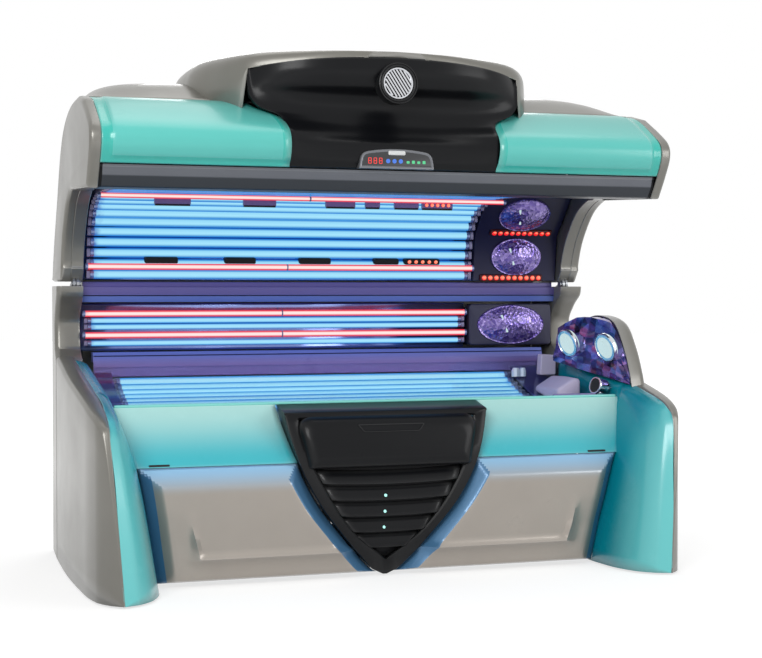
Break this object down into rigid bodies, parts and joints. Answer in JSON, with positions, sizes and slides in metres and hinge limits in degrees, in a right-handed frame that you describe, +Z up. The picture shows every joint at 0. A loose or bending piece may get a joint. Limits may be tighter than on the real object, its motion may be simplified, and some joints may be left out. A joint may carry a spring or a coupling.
{
  "type": "clamshell tanning bed",
  "caption": "Free-standing salon tanning bed: bench, side tanner and shoulder pod in a lower half, under a curved lamp canopy that swings down on hinges in its end columns.",
  "frame": {"origin": "on the floor under the middle of the bed", "axes": "+X along the bed towards the head end with the shoulder pod, -Y towards the user's side, +Z up"},
  "size_m": [2.43, 1.4, 2.08],
  "materials": {
    "silver_shell": "silver-beige metallic lacquer, satin gloss",
    "teal_shell": "pearl teal lacquer, glossy",
    "black_console": "black satin moulding",
    "display": "black glass-like panel in a silver bezel",
    "chrome_trim": "polished",
    "rail": "anodised graphite, satin",
    "acrylic": "clear acrylic, polished",
    "reflector": "bright rolled reflector",
    "blue_lamp": "lit tube glass, glowing blue",
    "red_lamp": "lit tube glass, glowing red",
    "lilac_trim": "lilac satin moulding",
    "purple_lens": "purple faceted reflector",
    "steel": "zinc-plated",
    "galvanised": "galvanised sheet",
    "black_part": "black"
  },
  "bodies": {
    "root": {"lower_end_right": "silver_shell", "lower_end_left": "silver_shell", "front_panel_right": "silver_shell", "front_panel_left": "silver_shell", "back_cover": "silver_shell", "pod_housing": "silver_shell", "wing_liner_right": "teal_shell", "wing_liner_left": "teal_shell", "fascia_right": "teal_shell", "fascia_left": "teal_shell", "console_frame": "black_console", "console_cover": "black_console", "console_louvres": "black_console", "bench_sheet": "acrylic", "bench_reflector": "reflector", "side_reflector": "reflector", "bench_lamps": "blue_lamp", "side_blue_lamps": "blue_lamp", "shoulder_lamp_inner": "blue_lamp", "shoulder_lamp_outer": "blue_lamp", "side_red_lamps": "red_lamp", "side_trim_upper": "lilac_trim", "side_trim_lower": "lilac_trim", "headrest": "lilac_trim", "pod_lens": "purple_lens", "side_facial_lamp": "purple_lens", "skid_right": "steel", "skid_left": "steel", "hinge_post_right": "steel", "hinge_post_left": "steel", "hinge_pin_right": "steel", "hinge_pin_left": "steel", "base_pan": "galvanised", "ballast_tray": "galvanised", "spring_cylinder_right": "black_part", "spring_cylinder_left": "black_part", "fan_housing": "black_part"},
    "canopy": {"canopy_end_right": "silver_shell", "canopy_end_left": "silver_shell", "canopy_arm_right": "steel", "canopy_arm_left": "steel", "canopy_roof": "silver_shell", "canopy_hood": "silver_shell", "canopy_cover_right": "teal_shell", "canopy_cover_left": "teal_shell", "canopy_console": "black_console", "display_panel": "display", "front_rail": "rail", "canopy_reflector": "reflector", "canopy_blue_lamps": "blue_lamp", "canopy_red_lamps": "red_lamp", "facial_frame": "black_console", "facial_lamp_lower": "purple_lens", "facial_lamp_upper": "purple_lens"},
    "spring_rod_right": {"spring_rod_right": "chrome_trim"},
    "spring_rod_left": {"spring_rod_left": "chrome_trim"},
    "start_button": {"start_button": "chrome_trim"},
    "air_nozzle": {"air_nozzle": "chrome_trim"},
    "fan_rotor": {"fan_rotor": "black_part"},
    "air_outlet": {"air_outlet": "chrome_trim"}
  },
  "joints": [
    {"name": "canopy_hinge", "type": "hinge", "parent": "root", "child": "canopy", "pos_m": [0, 0.4, 1.17], "axis": [1, 0, 0], "range_deg": [0, 42]},
    {"name": "spring_right", "type": "slide", "parent": "root", "child": "spring_rod_right", "axis": [0, 0, 1], "range_m": [0, 0.1462]},
    {"name": "spring_left", "type": "slide", "parent": "root", "child": "spring_rod_left", "axis": [0, 0, 1], "range_m": [0, 0.1462]},
    {"name": "start_press", "type": "slide", "parent": "canopy", "child": "start_button", "axis": [0, 1, 0], "range_m": [0, 0.002], "stiffness_N_per_m": 800},
    {"name": "nozzle_turn", "type": "hinge", "parent": "canopy", "child": "air_nozzle", "pos_m": [0, -0.5, 1.945], "axis": [0, -1, 0], "continuous": true},
    {"name": "outlet_turn", "type": "hinge", "parent": "root", "child": "air_outlet", "pos_m": [1.018, -0.19, 0.73], "axis": [0, 0, 1], "continuous": true},
    {"name": "fan_spin", "type": "hinge", "parent": "root", "child": "fan_rotor", "pos_m": [0, -0.2, 0.19], "axis": [0, 1, 0], "continuous": true}
  ],
  "couplings": [
    {"joint": "spring_right", "follows": "canopy_hinge", "m_per_rad": 0.199},
    {"joint": "spring_left", "follows": "canopy_hinge", "m_per_rad": 0.199}
  ]
}
